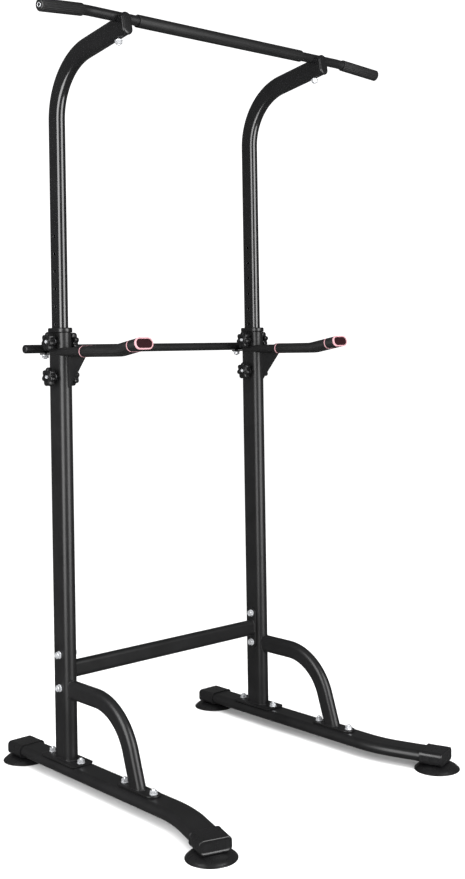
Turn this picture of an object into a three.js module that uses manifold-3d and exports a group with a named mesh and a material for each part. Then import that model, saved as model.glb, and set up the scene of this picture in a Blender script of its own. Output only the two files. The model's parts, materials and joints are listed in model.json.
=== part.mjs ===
// Power tower: two floor rails on suction feet, telescoping posts, pull-up bar,
// dip handles and a rear bar. Millimetres, +Z up, the front of the machine towards -Y.
// It stands at Z = 0; every piece is placed from the plane through the two posts' axes.
import * as THREE from "three";
import { mergeVertices } from "three/addons/utils/BufferGeometryUtils.js";
import Module from "manifold-3d";

const wasm = await Module();
wasm.setup();

// ---- driving dimensions, mm --------------------------------------------------------
const GAP = 0.3; // between two pieces that touch
const SIDES = { left: -1, right: 1 };
const POST_X = 375; // half the distance between the posts' axes
const WALL = 2; // tube walls
const ROUNDNESS = 3; // three.js curve segments in each quarter of a flat oval's ends

const RAIL = { width: 80, height: 32, top: 54, bend: 380, angle: 18, straightTo: 460 };
const RAIL_Z = RAIL.top - RAIL.height / 2;
const CAP = { wall: 3, sleeve: 38, nose: 30, floor: 7, corner: 12, bevel: 2 };
const FOOT = { rim: 65, front: 690, rear: 220, stud: 6 };
const FOOT_TOP = RAIL.top - RAIL.height - CAP.wall - 2 * GAP; // just under the cap
const POST_Y = (FOOT.front - FOOT.rear) / 2; // centres the object's depth on Y = 0

const PLATE = { width: 70, length: 168, thick: 5, bolt: 70 };
const LOWER = { width: 40, depth: 80, top: 1270 };
const UPPER = { width: 30, depth: 60, bottom: 1000, bendAt: 1875, bend: 180, angle: 80.7, arm: 184 };
const COLLAR = { lip: 3.5, height: 14, skirt: 15, play: 0.5 };
const HOLE = { radius: 5.5, pitch: 50, first: 1145, count: 9 };

const KNOB = { levels: [1145, 1245], radius: 27.5, lobes: 7, back: 31, face: 52, stud: 5, tip: 15.4, sleeve: 9, wave: 3, bevel: 2 };

const CROSSBAR = { depth: 25, height: 50, z: 307, plate: 4, plateWidth: 36, plateHeight: 130, bolt: 47, drain: 6 };
const REAR_BAR = { radius: 12.5, y: 78, z: 1225, half: 442 };
const TONGUE = { width: 36, thick: 4, from: 20, reach: 92, boltEnd: 13 };

const BRACE = { width: 30, depth: 54, z: 258, level: 150, bend: 160, angle: 72, leg: 105 };
const BRACE_FOOT = { bolts: [276, 399], width: 44, length: 158 };

const HANDLE = { width: 50, height: 25, z: 1216, back: 20, level: 266, bend: 120, angle: 9.5, tip: 100.6 };
const GUSSET = { thick: 4, heel: 35, toe: 42, reach: 125, drop: 1114 };
const DIP_GRIP = { width: 60, height: 32, from: 125, cap: 6, capBevel: 1.5 };

// The bar's ends bend forward and down, in a plane tilted from the floor by `tilt`.
const BAR = { radius: 14, y: -300, z: 2107, corner: 479, bend: 140, angle: 10.2, tilt: 42, tip: 161.6 };
const GRIP = { centre: 17.5, centreHalf: 313, end: 17, endLength: 141 };
const PLUG = { flange: 3, rearFlange: 5, stem: 15 };
const ARM_CAP = { lip: 1.5, depth: 8, bevel: 3, stem: 10 };
const BOLT = { shank: 5, hole: 5.3, washer: 11, washerThick: 2, hex: 9.8, head: 8, end: 4 };

// ---- materials -----------------------------------------------------------------------
const finish = (color, roughness, metalness) =>
  new THREE.MeshStandardMaterial({ color, roughness, metalness });
const FINISH = {
  frame: finish(0x1c1c1e, 0.48, 0.2),
  gloss: finish(0x141416, 0.2, 0.3),
  plastic: finish(0x161617, 0.4, 0),
  rubber: finish(0x1a1a1b, 0.6, 0),
  foam: finish(0x202021, 0.85, 0),
  trim: finish(0xe9b9c4, 0.5, 0),
  zinc: finish(0xc9ccd0, 0.28, 1),
};

// ---- solids ----------------------------------------------------------------------------
const degrees = THREE.MathUtils.degToRad;

function solid(geometry) {
  const bare = geometry.index ? geometry.toNonIndexed() : geometry.clone();
  bare.deleteAttribute("normal");
  bare.deleteAttribute("uv");
  const merged = mergeVertices(bare, 1e-4);
  return new wasm.Manifold(
    new wasm.Mesh({
      numProp: 3,
      vertProperties: new Float32Array(merged.attributes.position.array),
      triVerts: new Uint32Array(merged.index.array),
    }),
  );
}

const join = (...geometries) => geometries.map(solid).reduce((whole, next) => whole.add(next));

const cut = (whole, ...tools) => tools.reduce((left, tool) => left.subtract(solid(tool)), whole);

function geometryOf(body) {
  const { vertProperties, triVerts } = body.getMesh();
  const geometry = new THREE.BufferGeometry();
  geometry.setAttribute("position", new THREE.BufferAttribute(vertProperties, 3));
  geometry.setIndex(new THREE.BufferAttribute(triVerts, 1));
  return geometry;
}

// A flat oval (a round when both sizes match), with its straight sides along the longer size.
function oval(sizeX, sizeY, Outline = THREE.Shape) {
  const radius = Math.min(sizeX, sizeY) / 2;
  const x = sizeX / 2 - radius;
  const y = sizeY / 2 - radius;
  const outline = new Outline();
  if (y > 0) {
    outline.absarc(0, -y, radius, Math.PI, 2 * Math.PI);
    outline.absarc(0, y, radius, 0, Math.PI);
  } else {
    outline.absarc(x, 0, radius, -Math.PI / 2, Math.PI / 2);
    outline.absarc(-x, 0, radius, Math.PI / 2, (3 * Math.PI) / 2);
  }
  outline.closePath();
  return outline;
}

function roundedBox(sizeX, sizeY, radius) {
  const x = sizeX / 2 - radius;
  const y = sizeY / 2 - radius;
  const outline = new THREE.Shape();
  outline.absarc(x, -y, radius, -Math.PI / 2, 0);
  outline.absarc(x, y, radius, 0, Math.PI / 2);
  outline.absarc(-x, y, radius, Math.PI / 2, Math.PI);
  outline.absarc(-x, -y, radius, Math.PI, (3 * Math.PI) / 2);
  outline.closePath();
  return outline;
}

// The section of a sleeve: an oval with an oval opening.
function sleeveSection(sizeX, sizeY, innerX, innerY) {
  const section = oval(sizeX, sizeY);
  section.holes.push(oval(innerX, innerY, THREE.Path));
  return section;
}

const tubeSection = (sizeX, sizeY) =>
  sleeveSection(sizeX, sizeY, sizeX - 2 * WALL, sizeY - 2 * WALL);

// Straight runs and arcs in one plane. Its stations are the ends of each straight run and
// points round each arc, and the section's X stays square to the plane, along `across`.
class BentLine extends THREE.Curve {
  static arcStep = degrees(12);

  constructor(start, heading, across) {
    super();
    this.across = across;
    this.stations = [{ at: start, heading: heading.clone().normalize() }];
  }

  get end() {
    return this.stations[this.stations.length - 1];
  }

  get steps() {
    return this.stations.length - 1;
  }

  straight(length) {
    const { at, heading } = this.end;
    this.stations.push({ at: at.clone().addScaledVector(heading, length), heading });
    return this;
  }

  // A positive angle turns the heading about `across` by the right-hand rule.
  bend(radius, angle) {
    const { at, heading } = this.end;
    const inward = this.across.clone().cross(heading).multiplyScalar(Math.sign(angle) * radius);
    const centre = at.clone().add(inward);
    const count = Math.ceil(Math.abs(angle) / BentLine.arcStep);
    for (let i = 1; i <= count; i++) {
      const turned = (angle * i) / count;
      this.stations.push({
        at: at.clone().sub(centre).applyAxisAngle(this.across, turned).add(centre),
        heading: heading.clone().applyAxisAngle(this.across, turned),
      });
    }
    return this;
  }

  getSpacedPoints() {
    return this.stations.map((station) => station.at);
  }

  computeFrenetFrames() {
    return {
      tangents: this.stations.map((station) => station.heading),
      normals: this.stations.map(() => this.across),
      binormals: this.stations.map((station) => station.heading.clone().cross(this.across)),
    };
  }
}

const sweep = (section, line, curveSegments = ROUNDNESS) =>
  new THREE.ExtrudeGeometry(section, { steps: line.steps, extrudePath: line, curveSegments });

const X = new THREE.Vector3(1, 0, 0);
const Z = new THREE.Vector3(0, 0, 1);
const FORWARD = new THREE.Vector3(0, -1, 0);
const at = (x, y, z) => new THREE.Vector3(x, y, z);

const upright = (section, from, to, curveSegments = ROUNDNESS) =>
  new THREE.ExtrudeGeometry(section, { depth: to - from, bevelEnabled: false, curveSegments })
    .translate(0, 0, from);

const box = (sizeX, sizeY, sizeZ, x, y, z) =>
  new THREE.BoxGeometry(sizeX, sizeY, sizeZ).translate(x, y, z);

const rod = (radius, from, to, sides = 10) =>
  new THREE.CylinderGeometry(radius, radius, to - from, sides)
    .rotateX(Math.PI / 2)
    .translate(0, 0, (from + to) / 2);

// Turns a shape built up +Z so that it runs along `heading` from `start`.
function along(geometry, start, heading, across) {
  const basis = new THREE.Matrix4()
    .makeBasis(across, heading.clone().cross(across), heading)
    .setPosition(start);
  return geometry.applyMatrix4(basis);
}

// An outline, drawn smaller by `bevel` all round, made solid with both rims bevelled out to size.
const pad = (outline, depth, bevel) =>
  new THREE.ExtrudeGeometry(outline, {
    depth: depth - 2 * bevel,
    bevelSize: bevel,
    bevelThickness: bevel,
    bevelSegments: 1,
    curveSegments: ROUNDNESS,
  }).translate(0, 0, bevel);

const ovalPad = (sizeX, sizeY, depth, bevel) =>
  pad(oval(sizeX - 2 * bevel, sizeY - 2 * bevel), depth, bevel);

const lathe = (profile, sides) =>
  new THREE.LatheGeometry(profile.map(([r, z]) => new THREE.Vector2(r, z)), sides)
    .rotateX(Math.PI / 2);

// A bolt along +Z with its nut's seat at Z = 0: the shank runs down to its head.
function bolt(grip) {
  const { shank, washer, washerThick, hex, head, end } = BOLT;
  return join(
    rod(shank, -grip - 1, head + washerThick + end),
    rod(washer, 0, washerThick),
    rod(hex, washerThick - 0.5, washerThick + head, 6),
    rod(washer, -grip - washerThick, -grip),
    rod(hex, -grip - washerThick - head, -grip - washerThick + 0.5, 6),
  );
}

// ---- the object ------------------------------------------------------------------------
const tower = new THREE.Group();
const frame = new THREE.Group();
frame.position.y = POST_Y;
tower.add(frame);

// Adds a named piece, at the side's post when a side is given.
function piece(name, body, material, side = 0) {
  const mesh = new THREE.Mesh(geometryOf(body), material);
  mesh.name = name;
  mesh.position.x = side * POST_X;
  frame.add(mesh);
}

// ---- floor rails, end caps and suction feet -----------------------------------------------
const railLine = (side, from, beyond) =>
  new BentLine(at(0, from, RAIL_Z), FORWARD, Z)
    .straight(from + RAIL.straightTo)
    .bend(RAIL.bend, side * degrees(RAIL.angle))
    .straight(beyond);

// The straight run after the bend that reaches the middle of the front foot.
function frontRun() {
  const turn = RAIL.bend * Math.sin(degrees(RAIL.angle));
  return (FOOT.front - RAIL.straightTo - turn) / Math.cos(degrees(RAIL.angle));
}

const NOSE_ROOM = CAP.nose - CAP.floor - GAP; // how far the rail runs past the foot's middle

function railBoltHoles() {
  const places = [-PLATE.bolt, PLATE.bolt, ...BRACE_FOOT.bolts];
  return places.map((forward) => rod(BOLT.hole, 0, RAIL.top + 20).translate(0, -forward, 0));
}

function rail(side) {
  const line = railLine(side, FOOT.rear + NOSE_ROOM, frontRun() + NOSE_ROOM);
  const tube = sweep(tubeSection(RAIL.height, RAIL.width), line);
  return cut(solid(tube), ...railBoltHoles());
}

// A moulded cap: a sleeve over the rail's end, with a hole below for the foot's stud.
function railCap(middle, heading) {
  const across = Z.clone().cross(heading);
  const start = middle.clone().addScaledVector(heading, -CAP.sleeve);
  const length = CAP.sleeve + CAP.nose;
  const width = RAIL.width + 2 * (CAP.wall + GAP);
  const height = RAIL.height + 2 * (CAP.wall + GAP);
  const { bevel, corner } = CAP;
  const face = roundedBox(width - 2 * bevel, height - 2 * bevel, corner - bevel);
  const outer = along(pad(face, length, bevel), start, heading, across);
  const room = upright(oval(RAIL.width + 2 * GAP, RAIL.height + 2 * GAP), -5, length - CAP.floor);
  return cut(
    solid(outer),
    along(room, start, heading, across),
    rod(FOOT.stud + GAP, 0, RAIL_Z, 20).translate(middle.x, middle.y, 0),
  );
}

// A flat-rimmed rubber dome with a stud that enters the cap. Its profile is [radius, height]
// from the middle of the hollow below, out to the rim and up over the dome to the stud.
function suctionFoot(middle) {
  const { rim, stud } = FOOT;
  const profile = [
    [0, 9], [20, 8], [45, 3], [rim - 6, 0], [rim, 0], [rim, 2], [59, 7.5],
    [50, 12.5], [40, 16], [30, FOOT_TOP], [stud, FOOT_TOP], [stud, FOOT_TOP + CAP.wall], [0, FOOT_TOP + CAP.wall],
  ];
  return solid(lathe(profile, 20).translate(middle.x, middle.y, 0));
}

for (const [name, side] of Object.entries(SIDES)) {
  const front = railLine(side, 0, frontRun()).end;
  const ends = {
    front: { middle: front.at, heading: front.heading },
    rear: { middle: at(0, FOOT.rear, RAIL_Z), heading: FORWARD.clone().negate() },
  };
  piece(`floor_rail_${name}`, rail(side), FINISH.frame, side);
  for (const [end, { middle, heading }] of Object.entries(ends)) {
    piece(`rail_cap_${end}_${name}`, railCap(middle, heading), FINISH.plastic, side);
    piece(`suction_foot_${end}_${name}`, suctionFoot(middle), FINISH.rubber, side);
  }
}

// ---- lower posts, with base plate and rear tongue ------------------------------------------
const PLATE_BOTTOM = RAIL.top + GAP;
const PLATE_TOP = PLATE_BOTTOM + PLATE.thick;
const TONGUE_TOP = REAR_BAR.z - REAR_BAR.radius - GAP;

const acrossRod = (radius, from, to, y, z, sides = 10) =>
  rod(radius, from, to, sides).rotateY(Math.PI / 2).translate(0, y, z);

function lowerPost() {
  const bore = oval(LOWER.width - 2 * WALL, LOWER.depth - 2 * WALL);
  const tongueDepth = TONGUE.reach - TONGUE.from;
  const tongueY = TONGUE.from + tongueDepth / 2;
  const body = join(
    upright(oval(LOWER.width, LOWER.depth), PLATE_TOP - 1, LOWER.top),
    box(PLATE.width, PLATE.length, PLATE.thick, 0, 0, PLATE_BOTTOM + PLATE.thick / 2),
    box(TONGUE.width, tongueDepth, TONGUE.thick, 0, tongueY, TONGUE_TOP - TONGUE.thick / 2),
  );
  const plateHole = rod(BOLT.hole, RAIL.top - 5, PLATE_TOP + 5);
  const crossHoles = [-1, 1].map((way) => CROSSBAR.z + way * CROSSBAR.bolt);
  return cut(
    body,
    upright(bore, PLATE_TOP, LOWER.top + 5),
    plateHole.clone().translate(0, PLATE.bolt, 0),
    plateHole.clone().translate(0, -PLATE.bolt, 0),
    rod(BOLT.hole, TONGUE_TOP - 10, TONGUE_TOP + 5).translate(0, REAR_BAR.y, 0),
    ...KNOB.levels.map((z) => acrossRod(HOLE.radius, -30, 30, 0, z)),
    ...crossHoles.map((z) => acrossRod(BOLT.hole, -30, 30, 0, z)),
  );
}

// A moulded bush: a lip on the post's top and a skirt inside it that guides the upper post.
function collar() {
  const { lip, height, skirt, play } = COLLAR;
  const bottom = LOWER.top + GAP;
  const skirtWidth = LOWER.width - 2 * WALL - 2 * GAP;
  const skirtDepth = LOWER.depth - 2 * WALL - 2 * GAP;
  const body = join(
    ovalPad(LOWER.width + 2 * lip, LOWER.depth + 2 * lip, height, 2).translate(0, 0, bottom),
    upright(oval(skirtWidth, skirtDepth), bottom - skirt, bottom + 2),
  );
  const way = oval(UPPER.width + 2 * play, UPPER.depth + 2 * play);
  return cut(body, upright(way, bottom - skirt - 5, bottom + height + 5));
}

for (const [name, side] of Object.entries(SIDES)) {
  piece(`lower_post_${name}`, lowerPost(), FINISH.frame, side);
  piece(`post_collar_${name}`, collar(), FINISH.plastic, side);
}

// ---- front braces ---------------------------------------------------------------------------
// The tube leaves the post level, turns down through an arc and lands on its foot plate.
function brace() {
  const inPost = LOWER.depth / 4; // the tube starts inside the post's front, and is cut to fit it
  const line = new BentLine(at(0, -inPost, BRACE.z), FORWARD, X)
    .straight(BRACE.level - inPost)
    .bend(BRACE.bend, degrees(BRACE.angle))
    .straight(BRACE.leg);
  const tube = sweep(tubeSection(BRACE.width, BRACE.depth), line);
  const [rearBolt, frontBolt] = BRACE_FOOT.bolts;
  const plate = upright(oval(BRACE_FOOT.width, BRACE_FOOT.length), PLATE_BOTTOM, PLATE_TOP)
    .translate(0, -(rearBolt + frontBolt) / 2, 0);
  const post = upright(oval(LOWER.width + 2 * GAP, LOWER.depth + 2 * GAP), 0, 500);
  const below = box(200, 900, 100, 0, -300, PLATE_BOTTOM + 2 - 50);
  const bent = cut(solid(tube), post, below);
  return cut(
    bent.add(solid(plate)),
    ...BRACE_FOOT.bolts.map((forward) => rod(BOLT.hole, 0, 80).translate(0, -forward, 0)),
  );
}

const BASE_GRIP = PLATE_TOP + GAP - (RAIL.top - RAIL.height - GAP);

for (const [name, side] of Object.entries(SIDES)) {
  piece(`front_brace_${name}`, brace(), FINISH.frame, side);
  const places = {
    post_rear: -PLATE.bolt,
    post_front: PLATE.bolt,
    brace_rear: BRACE_FOOT.bolts[0],
    brace_front: BRACE_FOOT.bolts[1],
  };
  for (const [place, forward] of Object.entries(places)) {
    const body = bolt(BASE_GRIP).translate([0, -forward, PLATE_TOP + GAP]);
    piece(`rail_bolt_${place}_${name}`, body, FINISH.zinc, side);
  }
}

// ---- crossbar and its bolts -------------------------------------------------------------------
function crossbar() {
  const inner = POST_X - LOWER.width / 2 - GAP; // where its end plates meet the posts
  const { depth, height, z, plate, plateWidth, plateHeight } = CROSSBAR;
  const line = new BentLine(at(-inner + plate - 1, 0, z), X, Z).straight(2 * (inner - plate + 1));
  const endPlate = upright(oval(plateHeight, plateWidth), 0, plate).rotateY(Math.PI / 2);
  const hole = acrossRod(BOLT.hole, -POST_X, POST_X, 0, z);
  const drain = acrossRod(CROSSBAR.drain, -POST_X, POST_X, 0, z); // opens the tube through both end plates
  return cut(
    join(
      sweep(tubeSection(height, depth), line),
      endPlate.clone().translate(-inner, 0, z),
      endPlate.clone().translate(inner - plate, 0, z),
    ),
    hole.clone().translate(0, 0, CROSSBAR.bolt),
    hole.clone().translate(0, 0, -CROSSBAR.bolt),
    drain,
  );
}

piece("crossbar", crossbar(), FINISH.frame);

for (const [name, side] of Object.entries(SIDES)) {
  const seat = LOWER.width / 2 + GAP;
  const grip = 2 * seat + GAP + CROSSBAR.plate;
  for (const [level, way] of Object.entries({ upper: 1, lower: -1 })) {
    const body = bolt(grip)
      .rotate([0, side * 90, 0])
      .translate([side * seat, 0, CROSSBAR.z + way * CROSSBAR.bolt]);
    piece(`crossbar_bolt_${level}_${name}`, body, FINISH.zinc, side);
  }
}

// ---- rear bar ------------------------------------------------------------------------------------
function rearBar() {
  const { radius, y, z, half } = REAR_BAR;
  const line = new BentLine(at(-half, y, z), X, Z).straight(2 * half);
  const holes = Object.values(SIDES).map((side) =>
    rod(BOLT.hole, z - radius - 5, z).translate(side * POST_X, y, 0),
  );
  return cut(solid(sweep(tubeSection(2 * radius, 2 * radius), line, 4)), ...holes);
}

// A plug with a domed flange, built along +Z with the tube's end at Z = 0.
function roundPlug(radius, dome) {
  const stem = radius - WALL - GAP;
  const profile = [
    [0, -PLUG.stem], [stem, -PLUG.stem], [stem, GAP], [radius, GAP],
    [radius, dome / 3], [radius * 0.8, dome * 0.8], [0, dome],
  ];
  return lathe(profile, 12);
}

piece("rear_bar", rearBar(), FINISH.frame);

for (const [name, side] of Object.entries(SIDES)) {
  const { radius, y, z, half } = REAR_BAR;
  const end = at(side * half, y, z);
  const plug = along(roundPlug(radius, PLUG.rearFlange), end, X.clone().multiplyScalar(side), Z);
  piece(`rear_bar_plug_${name}`, solid(plug), FINISH.plastic);
  const body = join(
    rod(BOLT.shank, -TONGUE.boltEnd, TONGUE.thick + REAR_BAR.radius),
    rod(BOLT.washer, -BOLT.washerThick, 0),
    rod(BOLT.hex, -BOLT.washerThick - BOLT.head, -BOLT.washerThick + 0.5, 6),
  ).translate([0, y, TONGUE_TOP - TONGUE.thick - GAP]);
  piece(`rear_bar_bolt_${name}`, body, FINISH.zinc, side);
}

// ---- dip handles, grips and their end caps ----------------------------------------------------------
// The handle's middle line from `from` forward of the post's axis to its raised tip.
const handleLine = (from, beyond = 0) =>
  new BentLine(at(0, -from, HANDLE.z), FORWARD, X)
    .straight(HANDLE.level - from)
    .bend(HANDLE.bend, -degrees(HANDLE.angle))
    .straight(HANDLE.tip + beyond);

function dipHandle() {
  const { width, height, z, back } = HANDLE;
  const tube = sweep(tubeSection(width, height), handleLine(-back));
  const under = z - height / 2;
  const side = new THREE.Shape([
    new THREE.Vector2(GUSSET.heel, GUSSET.drop),
    new THREE.Vector2(GUSSET.toe, GUSSET.drop),
    new THREE.Vector2(GUSSET.reach, under),
    new THREE.Vector2(GUSSET.reach, under + 1),
    new THREE.Vector2(GUSSET.heel, under + 1),
  ]);
  const gusset = new THREE.ExtrudeGeometry(side, { depth: GUSSET.thick, bevelEnabled: false })
    .translate(0, 0, -GUSSET.thick / 2)
    .applyMatrix4(new THREE.Matrix4().makeBasis(FORWARD, Z, X.clone().negate()));
  const post = upright(oval(LOWER.width + 2 * GAP, LOWER.depth + 2 * GAP), 1000, 1400);
  const behind = box(200, 200, 200, 0, back + 100, z);
  return cut(join(tube, gusset), post, behind);
}

function dipGrip() {
  const { width, height, from } = DIP_GRIP;
  const section = sleeveSection(width, height, HANDLE.width + 2 * GAP, HANDLE.height + 2 * GAP);
  return solid(sweep(section, handleLine(from)));
}

function gripCap() {
  const { at: tip, heading } = handleLine(0).end;
  const stemWidth = HANDLE.width - 2 * (WALL + GAP);
  const stemHeight = HANDLE.height - 2 * (WALL + GAP);
  const { width, height, cap, capBevel } = DIP_GRIP;
  const face = ovalPad(width, height, cap, capBevel).translate(0, 0, GAP);
  const stem = upright(oval(stemWidth, stemHeight), -PLUG.stem, 2);
  return join(along(face, tip, heading, X), along(stem, tip, heading, X));
}

for (const [name, side] of Object.entries(SIDES)) {
  piece(`dip_handle_${name}`, dipHandle(), FINISH.frame, side);
  piece(`dip_grip_${name}`, dipGrip(), FINISH.foam, side);
  piece(`dip_grip_cap_${name}`, gripCap(), FINISH.trim, side);
}

// ---- upper posts and their caps ------------------------------------------------------------------------
const armLine = () =>
  new BentLine(at(0, 0, UPPER.bottom), Z, X)
    .straight(UPPER.bendAt - UPPER.bottom)
    .bend(UPPER.bend, degrees(UPPER.angle))
    .straight(UPPER.arm);

function upperPost() {
  const tube = solid(sweep(tubeSection(UPPER.width, UPPER.depth), armLine()));
  const holes = Array.from({ length: HOLE.count }, (_, i) =>
    acrossRod(HOLE.radius, -20, 20, 0, HOLE.first + i * HOLE.pitch),
  );
  const notch = acrossRod(BAR.radius + GAP, -20, 20, BAR.y, BAR.z, 16);
  const boltWay = rod(BOLT.hole, BAR.z - 80, BAR.z).translate(0, BAR.y, 0);
  return cut(tube, ...holes, notch, boltWay);
}

function armCap() {
  const { at: tip, heading } = armLine().end;
  const { lip, depth, bevel, stem: stemLength } = ARM_CAP;
  const face = ovalPad(UPPER.width + 2 * lip, UPPER.depth + 2 * lip, depth, bevel)
    .translate(0, 0, GAP);
  const inset = 2 * (WALL + GAP);
  const stem = upright(oval(UPPER.width - inset, UPPER.depth - inset), -stemLength, 4);
  return join(along(face, tip, heading, X), along(stem, tip, heading, X));
}

// ---- pull-up bar, grips, plugs and bolts ------------------------------------------------------------------
function barTangent() {
  return BAR.bend * Math.tan(degrees(BAR.angle / 2));
}

// Up the slope of the plane of its bends, and square to that plane.
const BAR_SLOPE = at(0, Math.cos(degrees(BAR.tilt)), Math.sin(degrees(BAR.tilt)));
const BAR_ACROSS = X.clone().cross(BAR_SLOPE);

function pullUpBar() {
  const { tip, heading } = barTip(-1);
  const run = BAR.tip - PLUG.flange - barTangent();
  const line = new BentLine(tip, heading.negate(), BAR_ACROSS)
    .straight(run)
    .bend(BAR.bend, -degrees(BAR.angle))
    .straight(2 * (BAR.corner - barTangent()))
    .bend(BAR.bend, -degrees(BAR.angle))
    .straight(run);
  const holes = Object.values(SIDES).map((side) =>
    rod(BOLT.hole, BAR.z - 30, BAR.z).translate(side * POST_X, BAR.y, 0),
  );
  return cut(solid(sweep(tubeSection(2 * BAR.radius, 2 * BAR.radius), line, 4)), ...holes);
}

const roundSleeve = (radius, length) =>
  upright(
    sleeveSection(2 * radius, 2 * radius, 2 * (BAR.radius + GAP), 2 * (BAR.radius + GAP)),
    0,
    length,
    5,
  );

function barTip(side) {
  const heading = X.clone()
    .multiplyScalar(side * Math.cos(degrees(BAR.angle)))
    .addScaledVector(BAR_SLOPE, -Math.sin(degrees(BAR.angle)));
  const corner = at(side * BAR.corner, BAR.y, BAR.z);
  return { heading, tip: corner.addScaledVector(heading, BAR.tip - PLUG.flange) };
}

// The bolt comes up through the arm into the bar, its nut below the arm's sloping underside.
const ARM_RISE = degrees(90 - UPPER.angle);

function barBolt() {
  const armMiddle = armLine().end;
  const slope = Math.tan(ARM_RISE);
  const middle = armMiddle.at.z + slope * (armMiddle.at.y - BAR.y);
  const seat = middle - UPPER.depth / 2 / Math.cos(ARM_RISE) - slope * BOLT.washer - GAP;
  const { washerThick, head } = BOLT;
  return join(
    rod(BOLT.shank, seat - washerThick - head - 8, BAR.z - 4),
    rod(BOLT.washer, seat - washerThick, seat),
    rod(BOLT.hex, seat - washerThick - head, seat - washerThick + 0.5, 6),
  ).translate([0, BAR.y, 0]);
}

for (const [name, side] of Object.entries(SIDES)) {
  piece(`upper_post_${name}`, upperPost(), FINISH.gloss, side);
  piece(`arm_cap_${name}`, armCap(), FINISH.plastic, side);
  piece(`bar_bolt_${name}`, barBolt(), FINISH.zinc, side);
}

piece("pull_up_bar", pullUpBar(), FINISH.frame);
piece(
  "centre_grip",
  solid(
    along(
      roundSleeve(GRIP.centre, 2 * GRIP.centreHalf),
      at(-GRIP.centreHalf, BAR.y, BAR.z),
      X,
      Z,
    ),
  ),
  FINISH.foam,
);

for (const [name, side] of Object.entries(SIDES)) {
  const { heading, tip } = barTip(side);
  const start = tip.clone().addScaledVector(heading, -GRIP.endLength);
  const sleeve = along(roundSleeve(GRIP.end, GRIP.endLength), start, heading, BAR_ACROSS);
  piece(`end_grip_${name}`, solid(sleeve), FINISH.foam);
  const plug = along(roundPlug(BAR.radius, PLUG.flange), tip, heading, BAR_ACROSS);
  piece(`end_plug_${name}`, solid(plug), FINISH.plastic);
}

// ---- star knobs ---------------------------------------------------------------------------------------------
function starOutline() {
  const points = [];
  const count = KNOB.lobes * 3; // two valleys' sides and a crest for each lobe
  for (let i = 0; i < count; i++) {
    const angle = (i / count) * 2 * Math.PI;
    const radius = KNOB.radius - KNOB.bevel - KNOB.wave * (1 - Math.cos(KNOB.lobes * angle));
    points.push(new THREE.Vector2(radius * Math.cos(angle), radius * Math.sin(angle)));
  }
  return new THREE.Shape(points);
}

// Built along +Z from the post's axis: a threaded stud, its collar and the moulded star.
function knob() {
  const { back, face, stud, tip, sleeve, bevel } = KNOB;
  const star = new THREE.ExtrudeGeometry(starOutline(), {
    depth: face - back - 3 * bevel,
    bevelSize: bevel,
    bevelThickness: bevel,
    bevelSegments: 1,
    steps: 1,
  }).translate(0, 0, back + bevel);
  return join(rod(stud, tip, face), rod(sleeve, LOWER.width / 2 + GAP, back + 1), star);
}

for (const [name, side] of Object.entries(SIDES)) {
  for (const [face, way] of Object.entries({ outer: side, inner: -side })) {
    for (const [level, z] of Object.entries({ lower: KNOB.levels[0], upper: KNOB.levels[1] })) {
      const body = knob().rotate([0, way * 90, 0]).translate([0, 0, z]);
      piece(`knob_${level}_${face}_${name}`, body, FINISH.plastic, side);
    }
  }
}

export default tower;
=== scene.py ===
# %% [markdown]
# A power tower is a gym machine: two floor rails on rubber feet, two telescoping posts,
# a pull-up bar on top, two padded dip handles at elbow height and a thin bar behind.
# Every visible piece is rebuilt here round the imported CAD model, which is loaded first.
# Working round a fixed frame means that a finer piece goes exactly where its CAD solid is.

import json
import math

import bmesh
import bpy
import numpy as np
from mathutils import Matrix, Vector


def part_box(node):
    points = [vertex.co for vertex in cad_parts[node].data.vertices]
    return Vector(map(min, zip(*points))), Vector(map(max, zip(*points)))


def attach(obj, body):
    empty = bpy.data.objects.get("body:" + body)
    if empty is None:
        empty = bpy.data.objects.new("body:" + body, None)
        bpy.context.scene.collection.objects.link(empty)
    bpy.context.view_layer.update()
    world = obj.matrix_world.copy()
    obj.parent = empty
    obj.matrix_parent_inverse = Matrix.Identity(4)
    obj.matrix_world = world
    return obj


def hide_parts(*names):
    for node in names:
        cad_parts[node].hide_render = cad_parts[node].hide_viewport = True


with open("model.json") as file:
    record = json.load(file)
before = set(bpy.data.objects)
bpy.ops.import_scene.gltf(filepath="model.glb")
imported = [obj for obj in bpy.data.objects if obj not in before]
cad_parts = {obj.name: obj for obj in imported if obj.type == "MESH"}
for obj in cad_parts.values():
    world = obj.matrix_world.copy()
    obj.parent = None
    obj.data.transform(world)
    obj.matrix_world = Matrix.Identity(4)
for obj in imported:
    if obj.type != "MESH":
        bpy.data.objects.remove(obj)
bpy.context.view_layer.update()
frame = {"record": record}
scene = bpy.context.scene
MM = 0.001
SIDES = {"left": -1, "right": 1}


# %% [markdown]
# Sizes are in millimetres, as on a workshop drawing, measured from the plane through the
# two posts. The CAD boxes say where that plane is and how high things stand, so a change
# to the part moves the pieces with it.

# %% Places read from the CAD
def span(node):
    """A CAD node's lowest and highest corner, in millimetres."""
    low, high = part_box(node)
    return np.array(low) / MM, np.array(high) / MM


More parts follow.
